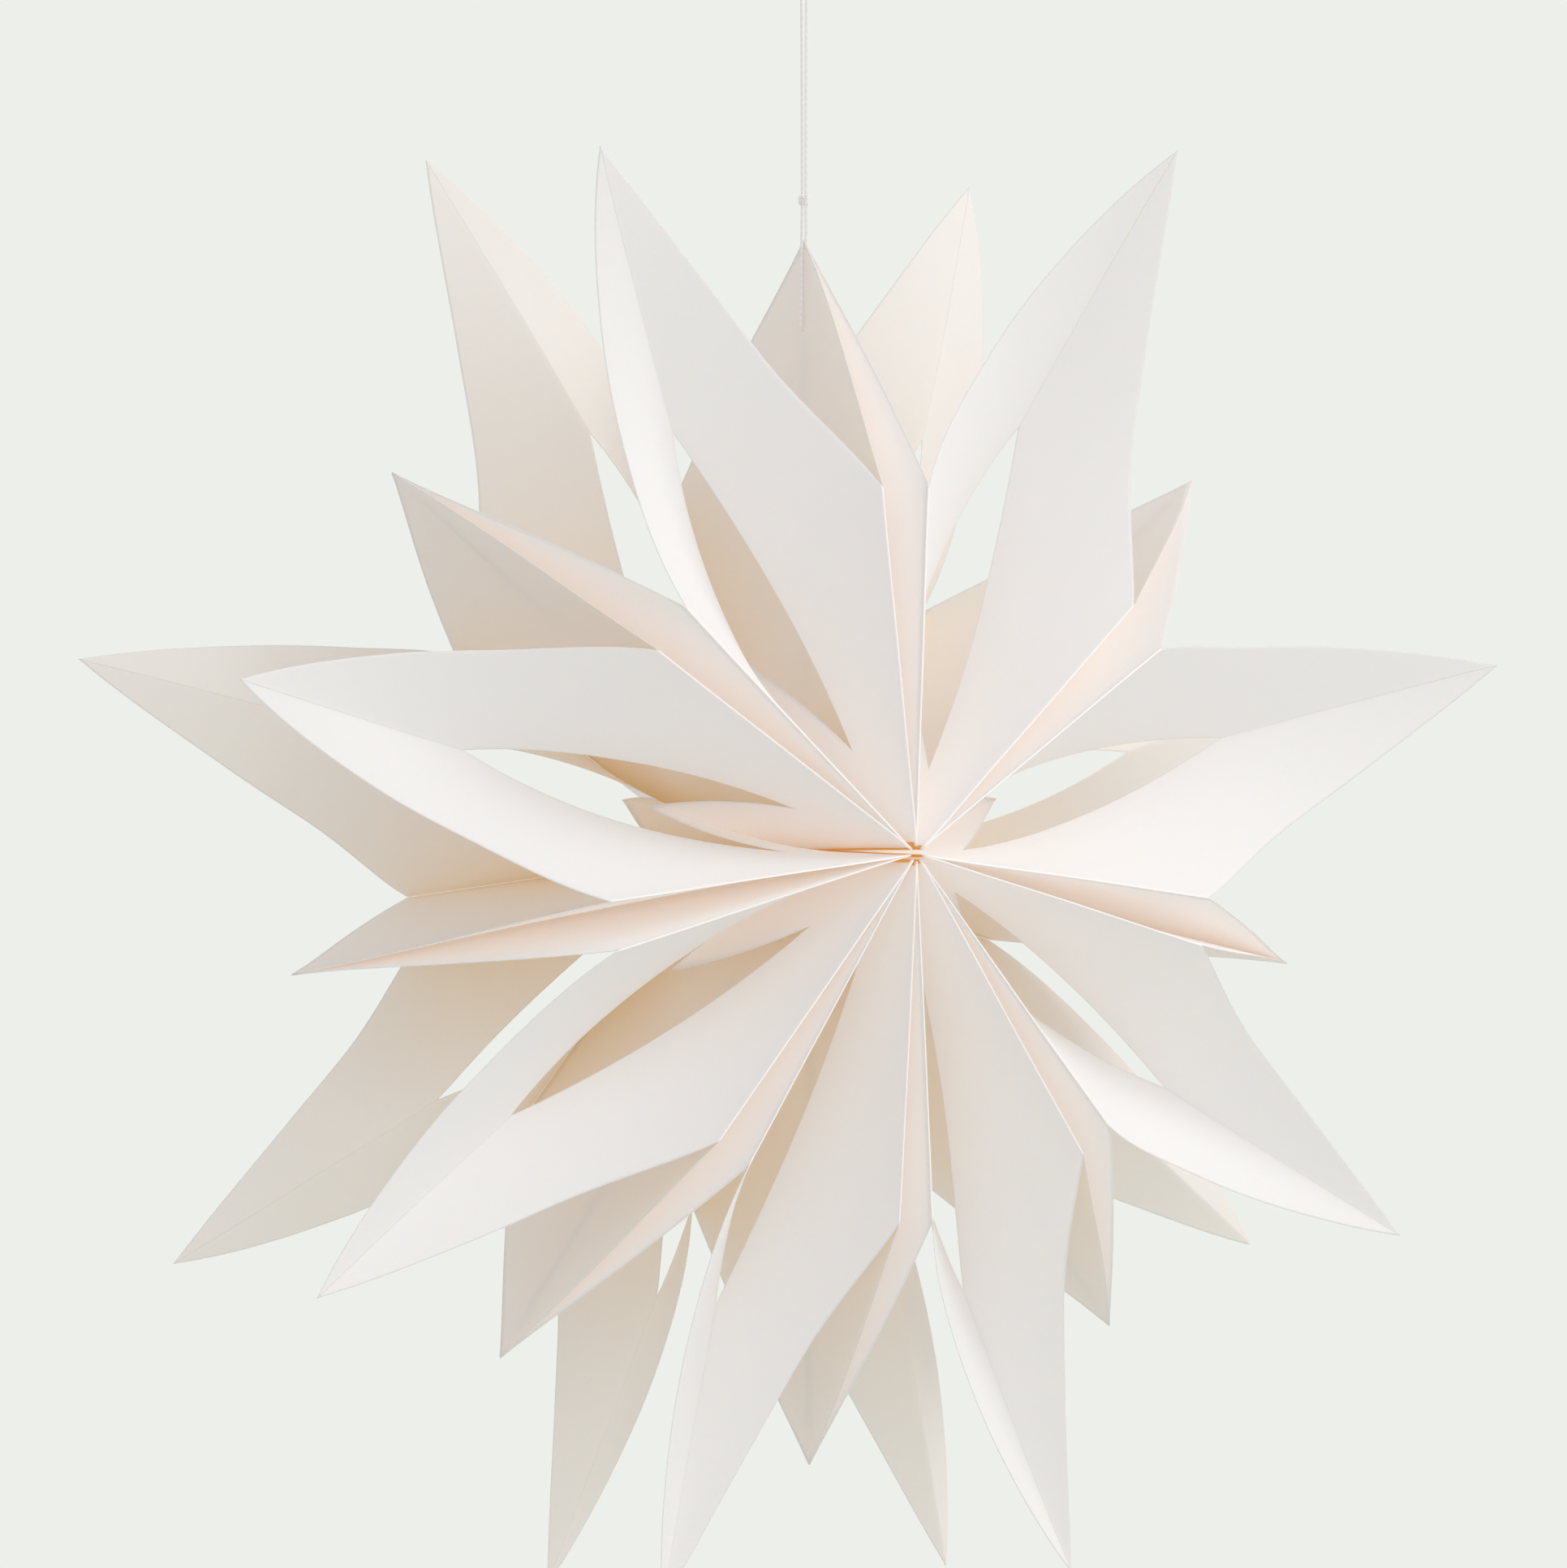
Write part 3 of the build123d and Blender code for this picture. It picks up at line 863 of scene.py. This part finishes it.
@dataclass
class Studio:
    """The camera, the lights, the floor and the backdrop's colour."""

    ring: Ring
    distance: float = 2.99
    azimuth: float = math.radians(34.3)
    elevation: float = math.radians(0.4)
    aim: tuple[float, float] = (-0.0108, 0.0268)
    lens: float = 175.9
    floor_drop: float = 0.78
    floor_radius: float = 1.35
    backdrop: tuple[float, float, float] = (0.847, 0.871, 0.823)

    def build(self) -> None:
        """Sets the stage."""
        self._camera()
        self._world()
        self._floor()
        self._area("key", azimuth=52, elevation=38, distance=2.6, size=1.8, power=24, colour=(1.0, 0.985, 0.97))
        self._area("fill", azimuth=-40, elevation=20, distance=3.2, size=2.4, power=8, colour=(1.0, 0.98, 0.97))
        scene = bpy.context.scene
        scene.view_settings.view_transform = "Standard"
        scene.view_settings.look = "None"
        scene.cycles.max_bounces = 16
        scene.cycles.diffuse_bounces = 12

    def _from(self, azimuth: float, elevation: float, distance: float) -> Vector:
        """A place around the star: azimuth 0 is in front, and it grows towards the right."""
        flat = math.cos(elevation) * distance
        return self.ring.centre + Vector(
            (math.sin(azimuth) * flat, -math.cos(azimuth) * flat, math.sin(elevation) * distance)
        )

    def _camera(self) -> None:
        """Places the camera to the star's left."""
        data = bpy.data.cameras.new("camera")
        data.lens = self.lens
        data.sensor_width = 36
        data.clip_end = 50
        camera = bpy.data.objects.new("camera", data)
        bpy.context.scene.collection.objects.link(camera)
        camera.location = self._from(-self.azimuth, self.elevation, self.distance)
        ahead = (self.ring.centre - camera.location).normalized()
        right = ahead.cross(Vector((0, 0, 1))).normalized()
        target = self.ring.centre + right * self.aim[0] + Vector((0, 0, self.aim[1]))
        camera.rotation_euler = (target - camera.location).to_track_quat("-Z", "Y").to_euler()
        bpy.context.scene.camera = camera

    def _world(self) -> None:
        """Makes an even pale backdrop and soft light from all round."""
        world = bpy.data.worlds.new("studio")
        bpy.context.scene.world = world
        world.use_nodes = True
        nodes, links = world.node_tree.nodes, world.node_tree.links
        soft = nodes["Background"]
        soft.inputs["Color"].default_value = (1.0, 0.985, 0.97, 1)
        soft.inputs["Strength"].default_value = 0.67
        seen = nodes.new("ShaderNodeBackground")
        seen.inputs["Color"].default_value = (*self.backdrop, 1)
        mix = nodes.new("ShaderNodeMixShader")
        path = nodes.new("ShaderNodeLightPath")
        links.new(path.outputs["Is Camera Ray"], mix.inputs["Fac"])
        links.new(soft.outputs[0], mix.inputs[1])
        links.new(seen.outputs[0], mix.inputs[2])
        links.new(mix.outputs[0], nodes["World Output"].inputs["Surface"])

    def _floor(self) -> None:
        """Lays a round pale floor below the star."""
        shape = bmesh.new()
        bmesh.ops.create_circle(shape, cap_ends=True, segments=96, radius=self.floor_radius)
        place = self.ring.centre - Vector((0, 0, self.floor_drop))
        bmesh.ops.translate(shape, verts=shape.verts, vec=place)
        data = bpy.data.meshes.new("floor")
        shape.to_mesh(data)
        shape.free()
        floor = bpy.data.objects.new("floor", data)
        bpy.context.scene.collection.objects.link(floor)
        material = bpy.data.materials.new("floor")
        material.use_nodes = True
        shader = material.node_tree.nodes["Principled BSDF"]
        shader.inputs["Base Color"].default_value = (*self.backdrop, 1)
        shader.inputs["Roughness"].default_value = 0.9
        data.materials.append(material)

    def _area(
        self, name: str, azimuth: float, elevation: float, distance: float, size: float, power: float,
        colour: tuple[float, float, float],
    ) -> None:
        """Adds a soft square light that faces the star; angles are in degrees."""
        data = bpy.data.lights.new(name, "AREA")
        data.size = size
        data.energy = power
        data.color = colour
        light = bpy.data.objects.new(name, data)
        bpy.context.scene.collection.objects.link(light)
        light.location = self._from(math.radians(azimuth), math.radians(elevation), distance)
        light.rotation_euler = (self.ring.centre - light.location).to_track_quat("-Z", "Y").to_euler()


def main() -> None:
    """Builds the star around its frame and sets it in the studio."""
    logging.basicConfig(level=logging.INFO, format="%(name)s: %(message)s")
    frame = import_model()
    ring = Ring(frame)
    Studio(ring).build()
    plan = BagPlan()
    finish = PaperFinish(ring.centre, plan.depth)
    # Each paper's last colour is its painted glow in the hollows.
    papers = (
        finish.material("paper_outside", (0.95, 0.93, 0.92), (0.99, 0.985, 0.98), (0.060, 0.048, 0.037)),
        # The inside sheet is painted warmer and darker: painted shade and warm bounce light inside the bags.
        finish.material("paper_inside_painted_shade", (0.92, 0.885, 0.85), (0.97, 0.95, 0.92), (0.050, 0.032, 0.011)),
        finish.material("paper_cut_edge", (0.95, 0.94, 0.93), (0.99, 0.985, 0.98), (0.07, 0.06, 0.05)),
    )
    for number in range(ring.bags):
        Bag(number, ring, plan, papers).build()
    Hanger(ring, StrandFinish().material(), plan).build()
    glue_strips = [f"glue_strip_{number}_{number + 1}" for number in range(1, ring.bags)]
    BondFinish("dried_glue", (0.90, 0.87, 0.80), 0.35, 900).dress(glue_strips)
    BondFinish("paper_tape", (0.92, 0.90, 0.85), 0.6, 2500).dress(["closing_tape"])


if __name__ == "__main__":
    main()
